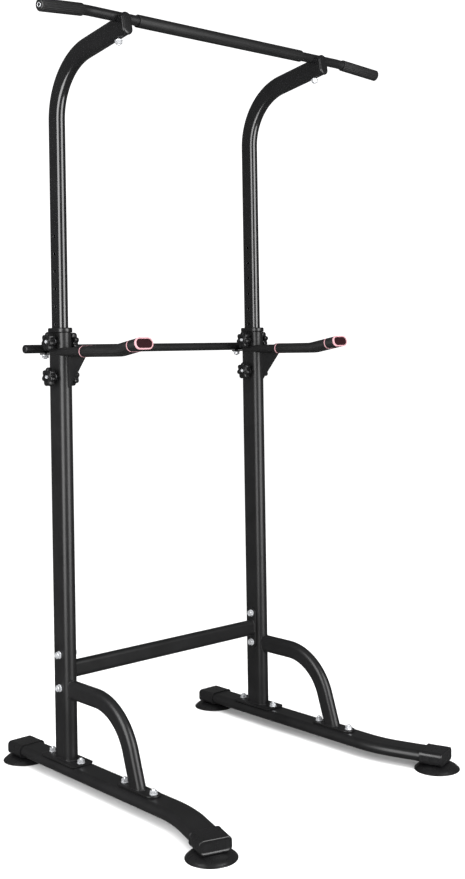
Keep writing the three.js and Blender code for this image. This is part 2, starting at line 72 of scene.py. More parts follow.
collar_low, collar_high = span("post_collar_right")
POST_X, POST_Y = (collar_low + collar_high)[:2] / 2
COLLAR_RISE = 14.3
LOWER_TOP = collar_high[2] - COLLAR_RISE
RAIL_TOP = span("floor_rail_right")[1][2]
bar_low, bar_high = span("centre_grip")
BAR_Y, BAR_Z = (bar_low + bar_high)[1:] / 2 - np.array([POST_Y, 0])
rear_low, rear_high = span("rear_bar")
REAR_Y, REAR_Z = (rear_low + rear_high)[1:] / 2 - np.array([POST_Y, 0])
GAP, WALL = 0.3, 2.0
BOLT_HOLE, KNOB_HOLE, BAR_HOLE = 5.3, 5.5, 14.3
X, Y, Z = np.eye(3)
UPRIGHT = (np.zeros(3), Z, X)
print(f"posts at x = ±{POST_X:.1f}, y = {POST_Y:.1f}; rail top {RAIL_TOP:.1f}, bar {BAR_Z:.1f}")

# %% [markdown]
# Nearly every piece of a welded machine is a profile carried along a line: a flat-oval
# tube, a round bar, a foam sleeve, even a bolt or a knob. A profile is a closed ring of
# points, and a surface is a stack of such rings. Extra points beside each corner of the
# oval keep its flat sides flat in smooth shading.


# %% Profiles
def oval(size_x, size_y, quarter=9):
    """Two half circles of radius min/2, joined by straight sides along the longer size."""
    radius = min(size_x, size_y) / 2
    reach = max(size_x, size_y) / 2 - radius
    turn = np.linspace(-np.pi / 2, np.pi / 2, 2 * quarter + 1)
    end = np.stack([reach + radius * np.cos(turn), radius * np.sin(turn)], 1)
    if reach > 1.5:
        near = np.array([[reach - 1, -radius]])
        far = np.array([[reach - 1, radius]])
        end = np.concatenate([near, end, far])
    else:
        end = end[:-1]
    ring = np.concatenate([end, -end])
    return ring if size_x >= size_y else np.stack([-ring[:, 1], ring[:, 0]], 1)


def circle(radius, sides=40):
    """Points (r cos t, r sin t) for t once round."""
    turn = np.arange(sides) / sides * 2 * np.pi
    return radius * np.stack([np.cos(turn), np.sin(turn)], 1)


print("points round:", len(oval(40, 80)), "on an oval,", len(circle(14)), "on a circle")


# %% [markdown]
# A bent tube's middle line is made of straight runs and round bends, as on a tube bender.
# Each station keeps its place and its heading, and the profile's first axis stays square
# to the plane of the bends, so the section never twists.


# %% Middle lines of bent tubes
class Line:
    """Stations (place, heading) of straight runs and arcs in one plane, in millimetres."""

    def __init__(self, start, heading, across):
        self.across = np.array(across, float)
        self.places = [np.array(start, float)]
        self.headings = [np.array(heading, float) / np.linalg.norm(heading)]

    def straight(self, length, parts=1):
        """Place + heading × s, for s up to length."""
        for _ in range(parts):
            self.places.append(self.places[-1] + self.headings[-1] * length / parts)
            self.headings.append(self.headings[-1])
        return self

    def bend(self, radius, angle, step=4.0):
        """Centre - side × radius, where side turns by the angle in degrees about `across`."""
        place, heading = self.places[-1], self.headings[-1]
        side = np.cross(self.across, heading) * np.sign(angle)
        centre = place + side * radius
        parts = math.ceil(abs(angle) / step)
        for turn in np.radians(angle) * np.arange(1, parts + 1) / parts:
            cos, sin = np.cos(turn), np.sin(turn)
            spin = lambda v: v * cos + np.cross(self.across, v) * sin
            self.places.append(centre - spin(side) * radius)
            self.headings.append(spin(heading))
        return self


# %% [markdown]
# A surface here is a grid: ring after ring of points, each ring closed on itself. The two
# ends are closed with a flat face, or the last ring is joined to the first to give a tube
# with a wall. Each finished shell is a closed skin, as a printed part's must be.


# %% Surfaces from rings
def skin(rings, joined=False, finish=0):
    """Quads between ring i and ring i + 1, and one flat face on each end unless joined."""
    rings = np.asarray(rings, float)
    count, sides = rings.shape[:2]
    last = count if joined else count - 1
    row, column = np.meshgrid(np.arange(last), np.arange(sides), indexing="ij")
    after, beside = (row + 1) % count, (column + 1) % sides
    corners = ((row, column), (row, beside), (after, beside), (after, column))
    quads = np.stack([r * sides + c for r, c in corners], -1)
    faces = quads.reshape(-1, 4).tolist()
    if not joined:
        last_ring = range((count - 1) * sides, count * sides)
        faces += [list(range(sides))[::-1], list(last_ring)]
    return rings.reshape(-1, 3), faces, [finish] * len(faces)


def carried(profile, line):
    """Each station's place + u × across + v × (heading × across), for each profile point."""
    places, headings = np.array(line.places), np.array(line.headings)
    up = np.cross(headings, line.across)
    u, v = profile[:, 0, None], profile[:, 1, None]
    return places[:, None] + u * line.across + v * up[:, None]


def tube(outer, inner, line):
    """The outer skin out along the line and the inner one back, the outer rims eased by 0.4."""
    edge = 0.4
    outside, inside = carried(outer, line), carried(inner, line)
    rims = []
    for end, way in ((0, 1), (-1, -1)):
        heading = way * line.headings[end] * edge
        eased = outside[end] + (inside[end] - outside[end]) * edge / WALL
        rims.append((eased, outside[end] + heading))
    rings = [*rims[0], *outside[1:-1], *rims[1][::-1], *inside[::-1]]
    return skin(rings, joined=True)


def oval_tube(size_x, size_y, line, quarter=9):
    """A flat-oval tube whose wall is WALL thick."""
    inner = oval(size_x - 2 * WALL, size_y - 2 * WALL, quarter)
    return tube(oval(size_x, size_y, quarter), inner, line)


def stacked(sections, start, heading, across, ring=oval, joined=False, finish=0):
    """Rings of given sizes at given heights along the heading: a turned or moulded solid."""
    heading, across = np.array(heading, float), np.array(across, float)
    up = np.cross(heading, across)
    rings = []
    for *size, height in sections:
        flat = ring(*size)
        rings.append(np.array(start) + heading * height + flat[:, :1] * across + flat[:, 1:] * up)
    return skin(rings, joined=joined, finish=finish)


def turned(profile, start, heading, across, sides=40, finish=0):
    """A lathe form: circles of radius r at height h along the heading, for each (r, h)."""
    ring = lambda radius: circle(max(radius, 0.01), sides)
    return stacked(profile, start, heading, across, ring=ring, finish=finish)


def eased(size_x, size_y, low, high, bevel):
    """Sections of an oval pad whose two rims are rounded with radius `bevel`."""
    turn = np.linspace(0, np.pi / 2, 3)
    inset = bevel * (1 - np.sin(turn))
    rise = bevel * (1 - np.cos(turn))
    bottom = [(size_x - 2 * i, size_y - 2 * i, low + r) for i, r in zip(inset, rise)]
    top = [(x, y, high - (h - low)) for x, y, h in bottom[::-1]]
    return bottom + top


# %% [markdown]
# Plates are cut from flat bar with their corners clipped, so a plate is one outline at
# several heights, pulled in a little at the rims where the edge has been dressed.


# %% Plates and weld beads
def plate_ring(size_x, size_y, clip):
    """A rectangle with each corner cut off at 45° by `clip`."""
    x, y = size_x / 2, size_y / 2
    half = np.array([(x, clip - y), (x, y - clip), (x - clip, y), (clip - x, y)])
    return np.concatenate([half, -half])


def plate(size_x, size_y, low, high, start, heading, across, clip=6.0):
    """A clipped rectangle at heights low to high, its rims pulled in by 0.6 mm."""
    rim = 0.6
    ring = lambda inset: plate_ring(size_x - 2 * inset, size_y - 2 * inset, clip)
    heights = [(rim, low), (0, low + rim), (0, high - rim), (rim, high)]
    return stacked(heights, start, heading, across, ring=ring)


def bead(path, normals, outward, radius):
    """A weld: circles of radius r (1 + 0.12 cos) round a closed path, a ripple each 5 mm."""
    path, normals, outward = (np.asarray(a, float) for a in (path, normals, outward))
    step = np.linalg.norm(np.roll(path, -1, 0) - path, axis=1)
    along = np.cumsum(step) - step
    count = max(1, round(step.sum() / 5.0))
    swell = radius * (1 + 0.12 * np.cos(2 * np.pi * count * along / step.sum()))
    turn = np.arange(10) / 10 * 2 * np.pi
    u = (np.cos(turn)[None] * swell[:, None])[..., None]
    v = (np.sin(turn)[None] * swell[:, None])[..., None]
    return skin(path[:, None] + u * normals[:, None] + v * outward[:, None], joined=True)


def oval_bead(size_x, size_y, start, heading, across, radius=2.6):
    """A weld round an oval tube where it meets a plate: one point each 1.2 mm of the oval."""
    ring = oval(size_x, size_y, 12)
    closed = np.vstack([ring, ring[:1]])
    step = np.linalg.norm(np.diff(closed, axis=0), axis=1)
    along = np.concatenate([[0], np.cumsum(step)])
    at = np.linspace(0, along[-1], int(along[-1] / 1.2), endpoint=False)
    flat = np.stack([np.interp(at, along, closed[:, k]) for k in (0, 1)], 1)
    tangent = np.roll(flat, -1, 0) - np.roll(flat, 1, 0)
    tangent /= np.linalg.norm(tangent, axis=1)[:, None]
    heading, across = np.array(heading, float), np.array(across, float)
    up = np.cross(heading, across)
    path = np.array(start) + flat[:, :1] * across + flat[:, 1:] * up
    outward = tangent[:, 1:] * across - tangent[:, :1] * up
    return bead(path, outward, np.tile(heading, (len(path), 1)), radius)


# %% [markdown]
# A hole is drilled with Blender's exact Boolean, and the result is stored at once, so that
# no modifier is left on the piece. Drilling shell by shell keeps each one closed.


# %% Drilling and fitting
def mesh_of(shells, name="shell"):
    """One mesh from several shells of points, faces and finish numbers, facing outward."""
    points, faces, finishes, first = [], [], [], 0
    for shell_points, shell_faces, shell_finishes in shells:
        points.append(shell_points)
        faces += [[i + first for i in face] for face in shell_faces]
        finishes += shell_finishes
        first += len(shell_points)
    mesh = bpy.data.meshes.new(name)
    mesh.from_pydata(np.concatenate(points) * MM, [], faces)
    for _ in range(max(finishes) + 1):
        mesh.materials.append(None)
    mesh.polygons.foreach_set("material_index", finishes)
    work = bmesh.new()
    work.from_mesh(mesh)
    bmesh.ops.remove_doubles(work, verts=work.verts, dist=2e-6)
    bmesh.ops.recalc_face_normals(work, faces=work.faces)
    work.to_mesh(mesh)
    work.free()
    return mesh


def drilled(shell, *tools):
    """The shell less every tool: points, faces and finishes read back from the Boolean's result."""
    body = bpy.data.objects.new("body", mesh_of([shell]))
    scene.collection.objects.link(body)
    cutters = []
    for tool in tools:
        cutter = bpy.data.objects.new("cutter", mesh_of([tool]))
        scene.collection.objects.link(cutter)
        cutters.append(cutter)
        step = body.modifiers.new("cut", "BOOLEAN")
        step.object, step.operation, step.solver = cutter, "DIFFERENCE", "EXACT"
    graph = bpy.context.evaluated_depsgraph_get()
    result = bpy.data.meshes.new_from_object(body.evaluated_get(graph))
    points = np.empty(len(result.vertices) * 3)
    result.vertices.foreach_get("co", points)
    faces = [list(face.vertices) for face in result.polygons]
    finishes = [shell[2][0]] * len(faces)
    for spare in (body, *cutters):
        spare_mesh = spare.data
        bpy.data.objects.remove(spare)
        bpy.data.meshes.remove(spare_mesh)
    bpy.data.meshes.remove(result)
    return points.reshape(-1, 3) / MM, faces, finishes


def pin(radius, low, high, place, heading=Z, across=X, sides=28):
    """A plain round drill, from height low to high along the heading at a place."""
    return turned([(radius, low), (radius, high)], place, heading, across, sides)


# %% [markdown]
# Shader maths reads best as a formula. A Value wraps one output socket, and each operator
# on it adds the Math node it stands for. The reflected forms let a plain number come first.


# %% A small language for finishes
class Value:
    """One output socket of a finish. Operators add Math nodes."""

    def __init__(self, finish, socket):
        self.finish, self.socket = finish, socket

    def math(self, operation, *values, clamp=False):
        settings = {"operation": operation, "use_clamp": clamp}
        return self.finish.node("ShaderNodeMath", settings, dict(enumerate(values)))

    def __add__(self, other):
        return self.math("ADD", self, other)

    def __sub__(self, other):
        return self.math("SUBTRACT", self, other)

    def __rsub__(self, other):
        return self.math("SUBTRACT", other, self)

    def __mul__(self, other):
        return self.math("MULTIPLY", self, other)

    def between(self, low, high):
        """0 below low, 1 above high, a straight slope between."""
        return self.math("MULTIPLY", self - low, 1 / (high - low), clamp=True)

    __radd__, __rmul__ = __add__, __mul__


class Finish:
    """One material: a Principled shader whose sockets take numbers or Values."""

    def __init__(self, name, **constants):
        self.material = bpy.data.materials.new(name)
        self.material.use_nodes = True
        self.nodes, self.links = self.material.node_tree.nodes, self.material.node_tree.links
        self.shader = self.nodes["Principled BSDF"]
        for socket, value in constants.items():
            self.shader.inputs[socket.replace("_", " ")].default_value = value
        self.place = self.node("ShaderNodeTexCoord", {}, {}, "Object")

    def node(self, kind, settings, values, out=0):
        """Adds a node: its settings first, then a number or a Value for each input socket."""
        made = self.nodes.new(kind)
        for setting, value in settings.items():
            setattr(made, setting, value)
        for socket, value in values.items():
            if isinstance(value, Value):
                self.links.new(value.socket, made.inputs[socket])
            else:
                made.inputs[socket].default_value = value
        return Value(self, made.outputs[out])

    def stretched(self, x, y, z):
        """Object coordinates times (x, y, z), for a pattern drawn out along one axis."""
        values = {0: self.place, 1: (x, y, z)}
        return self.node("ShaderNodeVectorMath", {"operation": "MULTIPLY"}, values)

    def noise(self, scale, detail=2.0, place=None):
        """Smooth noise of 0 to 1, `scale` cells to the metre."""
        values = {"Vector": place or self.place, "Scale": scale, "Detail": detail}
        return self.node("ShaderNodeTexNoise", {}, values, "Fac")

    def cells(self, scale):
        """Distance to the nearest of scattered points, `scale` of them to the metre."""
        values = {"Vector": self.place, "Scale": scale}
        return self.node("ShaderNodeTexVoronoi", {}, values, "Distance")

    def blend(self, mask, below, above):
        """The colour below where the mask is 0, the one above where it is 1."""
        rgba = lambda c: c if isinstance(c, Value) else (*c, 1.0)
        values = {0: mask, 6: rgba(below), 7: rgba(above)}
        return self.node("ShaderNodeMix", {"data_type": "RGBA"}, values, 2)

    def bump(self, height, depth):
        """A normal tilted by a height map whose full range is `depth` metres."""
        values = {"Height": height, "Distance": depth, "Strength": 1.0}
        return self.node("ShaderNodeBump", {}, values, "Normal")

    def wear(self, **sockets):
        """Links what varies over the surface to the shader."""
        for socket, value in sockets.items():
            self.links.new(value.socket, self.shader.inputs[socket.replace("_", " ")])
        return self


# %% [markdown]
# Powder coat is sprayed on dry and baked, so it flows a little and sets with a fine orange
# peel. The frame's coat is satin. Slow noise makes some of it a shade greyer and duller,
# as handling does, and a scatter of tiny pale specks is dust in the coat.


# %% Satin and gloss powder coat
def powder_coat(name, dark, pale, sheen, spread, peel, **constants):
    """Colour by slow noise plus specks; roughness sheen ± spread / 2 and fine; orange peel."""
    coat = Finish(name, **constants)
    slow = coat.noise(14, 4)
    fine = coat.noise(1400, 2)
    specks = (0.06 - coat.cells(260)).between(0, 0.03)
    colour = coat.blend(slow.between(0.3, 0.75), dark, pale)
    colour = coat.blend(specks * 0.15, colour, (0.12, 0.12, 0.125))
    rough = slow * spread + fine * 0.05 + (sheen - spread / 2)
    height = coat.noise(420, 2) + coat.noise(120, 1) * 0.8
    return coat.wear(Base_Color=colour, Roughness=rough, Normal=coat.bump(height, peel))


satin_coat = powder_coat(
    "satin_black_coat", (0.006, 0.006, 0.0062), (0.009, 0.009, 0.0094),
    sheen=0.33, spread=0.1, peel=0.00002, IOR=1.45,
)
gloss_coat = powder_coat(
    "gloss_black_coat", (0.004, 0.004, 0.0043), (0.006, 0.006, 0.0064),
    sheen=0.2, spread=0.04, peel=0.000002, IOR=1.5, Coat_Weight=0.6, Coat_Roughness=0.14,
)
print("powder coats: satin and gloss")

# %% [markdown]
# The caps, collars and knobs are injection moulded. The mould is etched, which leaves a
# fine pebble grain, and flow through the mould leaves faint streaks in the shine.


# %% Moulded plastic and rubber
def moulding(name, dark, pale, sheen, grain, depth):
    """Colour by slow noise, roughness by streaks, a pebble bump of `grain` cells to the metre."""
    part = Finish(name)
    slow = part.noise(30, 3)
    pebble = part.cells(grain).between(0.0, 0.9)
    streak = part.noise(90, 2, part.stretched(1, 1, 0.15))
    colour = part.blend(slow * 0.7 + pebble * 0.3, dark, pale)
    rough = streak * 0.12 + pebble * 0.06 + sheen
    normal = part.bump(pebble + part.noise(grain * 0.6) * 0.5, depth)
    return part.wear(Base_Color=colour, Roughness=rough, Normal=normal)


plastic = moulding(
    "black_plastic", (0.004, 0.004, 0.0043), (0.008, 0.008, 0.0084),
    sheen=0.2, grain=1500, depth=0.00002,
)
rubber = moulding(
    "black_rubber", (0.004, 0.004, 0.0042), (0.008, 0.008, 0.0083),
    sheen=0.2, grain=1100, depth=0.00003,
)
print("mouldings: plastic and rubber")

# %% [markdown]
# The grips are closed-cell foam, extruded as a sleeve. Skinned cells under a millimetre
# across give it a matt, slightly crushed grain, and the die leaves faint streaks along it.


# %% Foam
def foam(name, along):
    """Cells of 0.8 mm for the bump, noise drawn out along one axis for the streaks, and pores."""
    grip = Finish(name, Specular_IOR_Level=0.4)
    stretch = [330, 330, 330]
    stretch[along] = 9
    streak = grip.noise(1, 3, grip.stretched(*stretch))
    cell = grip.cells(1300).between(0.05, 0.75)
    pores = (grip.noise(800, 3) - 0.56).between(0, 0.1)
    colour = grip.blend(streak.between(0.3, 0.7), (0.004, 0.004, 0.0042), (0.01, 0.01, 0.0104))
    colour = grip.blend(pores * 0.5, colour, (0.002, 0.002, 0.002))
    rough = streak * 0.12 + cell * 0.06 + 0.42
    height = cell * 0.5 + streak * 0.9 - pores * 0.6
    return grip.wear(Base_Color=colour, Roughness=rough, Normal=grip.bump(height, 0.00012))


dip_foam, bar_foam = foam("black_foam_lengthwise", 1), foam("black_foam_crosswise", 0)
print("foams: one streaked along y for the dip grips, one along x for the bar")

# %% [markdown]
# The trim at the ends of the dip grips is soft pink plastic round a dark red inset. The
# bolts are zinc plated: bright, a little blue, with a fine crystalline bloom.


# %% Trim, inset, zinc and bare steel
def trim(name, dark, pale, sheen, shine):
    """Slow blotches in the colour and a fine pebble, as in a soft moulding."""
    part = Finish(name, Specular_IOR_Level=shine)
    blotch = part.noise(160, 3)
    pebble = part.cells(1700)
    colour = part.blend(blotch, dark, pale)
    rough = blotch * 0.1 + pebble * 0.1 + sheen
    return part.wear(Base_Color=colour, Roughness=rough, Normal=part.bump(pebble, 0.00004))


pink = trim("pink_trim", (0.4, 0.2, 0.225), (0.54, 0.3, 0.325), 0.38, 0.4)
red_inset = trim("dark_red_inset", (0.012, 0.004, 0.005), (0.024, 0.005, 0.007), 0.6, 0.08)


def steel(name, dark, pale, sheen, spread, metal):
    """Metal whose colour and shine vary with crystals of a millimetre and with fine brushing."""
    part = Finish(name, Metallic=metal)
    crystal = part.cells(700)
    slow = part.noise(240, 3)
    brushed = part.noise(2200, 2)
    rough = slow * spread + crystal * 0.08 + sheen
    colour = part.blend(slow * 0.6 + crystal * 0.5, pale, dark)
    normal = part.bump(brushed + crystal * 0.5, 0.00002)
    return part.wear(Base_Color=colour, Roughness=rough, Normal=normal)


zinc = steel(
    "zinc_steel", (0.42, 0.43, 0.45), (0.92, 0.93, 0.95), sheen=0.14, spread=0.14, metal=0.6
)
# Bare steel where the coat is rubbed off the hole rims. It is paler than the coat, as a painted
# highlight for light reflected off the edges.
bare_edge_and_highlight = steel(
    "worn_hole_edge_and_highlight", (0.02, 0.02, 0.021), (0.14, 0.14, 0.145), sheen=0.3, spread=0.15, metal=0.8
)
print("finishes:", len(bpy.data.materials))

# %% [markdown]
# One helper finishes each piece: it joins its shells, gives them their finishes, shades
# smooth except at real edges, and says which body it rides on and which CAD node it stands
# for. It prints how far its box is from its CAD node's.

# %% Finishing a piece
record = frame["record"]
bodies = record["behaviour"]["bodies"]
BODIES = {node: body for body, nodes in bodies.items() for node in nodes}
SHARP_ANGLE = 38


def place(shell, side=0):
    """Moves a shell from the posts' plane to its own post in the shared frame."""
    points, faces, finishes = shell
    return points + np.array([side * POST_X, POST_Y, 0]), faces, finishes


def make(node, shells, *finishes, side=0):
    """The piece that stands for a CAD node, from its shells at the side's post."""
    mesh = mesh_of([place(shell, side) for shell in shells], node + "_looks")
    for index, finish in enumerate(finishes):
        mesh.materials[index] = finish.material
    mesh.polygons.foreach_set("use_smooth", [True] * len(mesh.polygons))
    mesh.set_sharp_from_angle(angle=math.radians(SHARP_ANGLE))
    piece = bpy.data.objects.new(node + "_looks", mesh)
    scene.collection.objects.link(piece)
    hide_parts(node)
    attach(piece, BODIES[node])
    points = np.array([v.co for v in mesh.vertices])
    low, high = (np.array(corner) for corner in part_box(node))
    off = np.concatenate([low - points.min(0), points.max(0) - high]).max() / MM
    print(f"{node}: {len(mesh.polygons)} faces, proud of its CAD box by {off:.1f} mm")
    return piece


# %% [markdown]
# Hex nuts are cut from hexagon bar and chamfered, so only their corners touch the cone of
# the chamfer. The screw's end stands a few threads proud. Each bolt here is its nut and
# washer at one end, its head and washer at the other and the shank between.

# %% Bolts
FLAT, SHANK, WASHER_R = 8.5, 5.0, 11.0
WASHER, HEAD, PROUD = 2.0, 8.0, 4.0


def hex_ring(cone):
    """r(t) = min(FLAT / cos(t folded to ±30°), cone): a hexagon clipped by a cone."""
    turn = np.arange(72) / 72 * 2 * np.pi
    folded = (turn + np.pi / 6) % (np.pi / 3) - np.pi / 6
    radius = np.minimum(FLAT / np.cos(folded), cone)
    return radius[:, None] * np.stack([np.cos(turn), np.sin(turn)], 1)


def nut(start, heading, across):
    """A hexagon on the washer, its top corners clipped by a 30° cone and its bore dished."""
    low, high, slope = WASHER, WASHER + HEAD, math.tan(math.radians(60))
    heights = [high - 1.0, high - 0.75, high - 0.5, high - 0.25, high]
    rings = [(8.3 + (high - h) * slope, h) for h in heights]
    rings = [(99, low), *rings, (5.9, high), (5.2, high - 0.6)]
    return stacked(rings, start, heading, across, ring=hex_ring)


def washer(start, heading, across):
    """A disc with eased rims."""
    ease = 0.35
    inner = WASHER_R - ease
    profile = [(inner, 0), (WASHER_R, ease), (WASHER_R, WASHER - ease), (inner, WASHER)]
    return turned(profile, start, heading, across, 44)


def screw(low, high, start, heading, across):
    """A shank whose last 8 mm carry ridges 0.45 mm deep at each 1.5 mm of pitch."""
    ridges = np.arange(high - 8.0, high - 1.0, 0.75)
    depth = np.where(np.arange(len(ridges)) % 2 == 0, SHANK, SHANK - 0.45)
    profile = [(SHANK, low), *zip(depth, ridges), (4.0, high)]
    return turned(profile, start, heading, across, 24)


def bolt(grip, start, heading, across):
    """Nut and washer at the start, shank down through the grip, and the hex head below it."""
    down = -np.array(heading, float)
    far = np.array(start) + down * grip
    above, below = (start, heading, across), (far, down, across)
    shank = screw(-grip - 1, WASHER + HEAD + PROUD, *above)
    return [washer(*above), nut(*above), shank, washer(*below), nut(*below)]


def hanging_bolt(low, start):
    """A nut, washer and screw end below a tube, the shank going up into it."""
    below = (start, -Z, X)
    return [washer(*below), nut(*below), screw(low, WASHER + HEAD + 3, *below)]


# %% [markdown]
# Each floor rail is a flat-oval tube lying flat, bent outward near its front end so that
# the machine stands wider at the front. It is carried along its middle line and drilled
# for the four bolts that hold the post and the brace.

# %% Floor rails
RAIL_W, RAIL_H = 80, 32
RAIL_Z = RAIL_TOP - RAIL_H / 2
FRONT, REAR, NOSE = 690, 220, 22.7
BEND_R, BEND_AT, SPLAY = 380, 460, 18
BOLTS = {"post_rear": -70, "post_front": 70, "brace_rear": 276, "brace_front": 399}
splay = math.radians(SPLAY)
LAST_RUN = (FRONT - BEND_AT - BEND_R * math.sin(splay)) / math.cos(splay)


def rail_line(side, start, beyond):
    """Straight forward from the rear, a bend outward, and straight again."""
    line = Line((0, start, RAIL_Z), -Y, Z).straight(start + BEND_AT, 4)
    return line.bend(BEND_R, side * SPLAY, 1.5).straight(LAST_RUN + beyond)


for name, side in SIDES.items():
    line = rail_line(side, REAR + NOSE, NOSE)
    shell = oval_tube(RAIL_H, RAIL_W, line)
    holes = [pin(BOLT_HOLE, 0, RAIL_TOP + 9, (0, -forward, 0)) for forward in BOLTS.values()]
    make(f"floor_rail_{name}", [drilled(shell, *holes)], satin_coat, side=side)

# %% [markdown]
# A moulded cap closes each rail end: a sleeve with a slightly thicker lip where it stops,
# and a rounded nose. Under it sits a rubber suction foot, a shallow bell that flattens
# under load. Both are rings stacked along a line: rounded rectangles, then circles.

# %% Rail caps and suction feet
CAP_SLEEVE, CAP_NOSE, CAP_WALL, STUD_HOLE = 38, 30, 3.2, 6.3


def box_ring(size_x, size_y, radius, quarter=8):
    """A rectangle whose corners are quarter circles, with a point 1 mm before and after each."""
    turn = np.linspace(0, np.pi / 2, quarter + 1)
    corners = []
    for count, (way_x, way_y) in enumerate(((1, 1), (-1, 1), (-1, -1), (1, -1))):
        centre = np.array([way_x * (size_x / 2 - radius), way_y * (size_y / 2 - radius)])
        angle = turn + count * np.pi / 2
        arc = centre + radius * np.stack([np.cos(angle), np.sin(angle)], 1)
        before = arc[0] - np.array([-np.sin(angle[0]), np.cos(angle[0])])
        after = arc[-1] + np.array([-np.sin(angle[-1]), np.cos(angle[-1])])
        corners.append(np.vstack([before, arc, after]))
    return np.concatenate(corners)


def rail_cap(middle, heading):
    """The inside from its floor to the mouth, then the outside out to a rounded nose."""
    across = np.cross(Z, heading)
    start = middle - heading * CAP_SLEEVE
    width, height = RAIL_W + 2 * CAP_WALL, RAIL_H + 2 * CAP_WALL
    length, corner, nose = CAP_SLEEVE + CAP_NOSE, 12, 2.4
    grow = lambda inset, h: (width - 2 * inset, height - 2 * inset, corner - inset, h)
    turn = np.linspace(0, np.pi / 2, 6)
    outside = [grow(0.5, 0), grow(0, 0.5), grow(0, 6), grow(0.5, 6.6), grow(0.5, length - nose)]
    for t in turn[1:]:
        outside.append(grow(0.5 + nose * (1 - np.cos(t)), length - nose + nose * np.sin(t)))
    outside += [grow(5.5, length), grow(6.2, length - 0.5), grow(9, length - 0.5)]
    inside = [(RAIL_W + 0.6, RAIL_H + 0.6, 16.2, h) for h in (length - 7, 0)]
    shell = stacked(inside + outside, start, heading, across, ring=box_ring)
    return drilled(shell, pin(STUD_HOLE, 0, RAIL_Z - 10, (*middle[:2], 0)))


def suction_foot(middle):
    """A dome turned from the middle of its hollow, round the thin rim and up to its stud."""
    hollow = [(0, 9), (12, 8.8), (22, 7.8), (34, 5.6), (46, 2.8), (56, 0.8), (60, 0.1)]
    rim = [(64.4, 0), (65, 0.4), (65, 1.5), (64.4, 2.3), (62.6, 3.2), (61.4, 4.4)]
    dome = [(59, 7.2), (56, 9.6), (52, 11.9), (47, 14), (41, 15.9), (35, 17.3), (30, 18.2)]
    stud = [(28, 18.35), (14, 18.35), (6, 18.4), (6, 21.4), (0, 21.4)]
    return turned(hollow + rim + dome + stud, middle * np.array([1, 1, 0]), Z, X, 72)


for name, side in SIDES.items():
    line = rail_line(side, 0, 0)
    ends = {"front": (line.places[-1], line.headings[-1]), "rear": (np.array([0, REAR, RAIL_Z]), Y)}
    for end, (middle, heading) in ends.items():
        make(f"rail_cap_{end}_{name}", [rail_cap(middle, heading)], plastic, side=side)
        make(f"suction_foot_{end}_{name}", [suction_foot(middle)], rubber, side=side)

# %% [markdown]
# The lower posts are upright flat-oval tubes, welded to a base plate with clipped corners
# and to a small tongue behind that carries the rear bar. They are drilled across for the
# crossbar's bolts and for the knobs. The weld is a bead of small, even ripples.

# %% Lower posts
LOWER = (40, 80)
PLATE_LOW, PLATE_TOP = RAIL_TOP + 0.3, RAIL_TOP + 5.3
KNOBS = {"lower": 1145, "upper": 1245}
CROSS_Z, CROSS_BOLT = 307, 47
TONGUE_TOP = REAR_Z - 12.5 - GAP


def tongue_ring(inset):
    """A strip with a half-round end: straight back from y = 30, then a half circle of 18."""
    turn = np.linspace(0, np.pi, 19)
    half = 18 - inset
    arc = np.stack([half * np.cos(turn), 74 + half * np.sin(turn)], 1)
    return np.vstack([arc, [[-half, 30], [half, 30]]])


for name, side in SIDES.items():
    line = Line((0, 0, PLATE_TOP - 0.2), Z, X).straight(LOWER_TOP - PLATE_TOP + 0.2)
    post = oval_tube(*LOWER, line, 12)
    holes = [pin(KNOB_HOLE, -30, 30, (0, 0, z), X, Y) for z in KNOBS.values()]
    for z in (CROSS_Z - CROSS_BOLT, CROSS_Z + CROSS_BOLT):
        holes.append(pin(BOLT_HOLE, -30, 30, (0, 0, z), X, Y))
    base = plate(70, 168, PLATE_LOW, PLATE_TOP, *UPRIGHT, clip=7)
    base = drilled(base, *[pin(BOLT_HOLE, 40, 70, (0, y, 0)) for y in (-70, 70)])
    edges = [(0.5, -4), (0, -3.5), (0, -0.5), (0.5, 0)]
    sections = [(inset, TONGUE_TOP + height) for inset, height in edges]
    tongue = stacked(sections, *UPRIGHT, ring=tongue_ring)
    tongue = drilled(tongue, pin(BOLT_HOLE, TONGUE_TOP - 10, TONGUE_TOP + 9, (0, REAR_Y, 0)))
    weld = oval_bead(*LOWER, (0, 0, PLATE_TOP), Z, X)
    shells = [drilled(post, *holes), base, tongue, weld]
    make(f"lower_post_{name}", shells, satin_coat, side=side)

# %% [markdown]
# A moulded collar sits on each lower post's mouth. Its flared lip hides the raw tube end
# and its skirt guides the upper post. Its section is a closed outline carried round the
# oval: up the bore, over the lip and down the outside of the skirt.

# %% Collars
for name, side in SIDES.items():
    low = LOWER_TOP + GAP
    bore = [(31, 61, -15), (31, 61, 11), (32.4, 62.4, 13.2), (34, 64, 14)]
    lip = [(43, 83, 14), (45.4, 85.4, 13.2), (47, 87, 11), (47, 87, 3), (46, 86, 1)]
    skirt = [(44.6, 84.6, 0), (35.4, 75.4, 0), (35.4, 75.4, -14.4), (34.6, 74.6, -15)]
    sections = [(x, y, low + height) for x, y, height in bore + lip + skirt]
    collar = stacked(sections, *UPRIGHT, joined=True)
    make(f"post_collar_{name}", [collar], plastic, side=side)

# %% [markdown]
# Each brace leaves its post level, turns down in a wide bend and lands on an oval foot
# plate on the rail. Its end is shaped to the post's round front, as a fabricator would
# notch it, which a Boolean does exactly, and then both ends are welded.

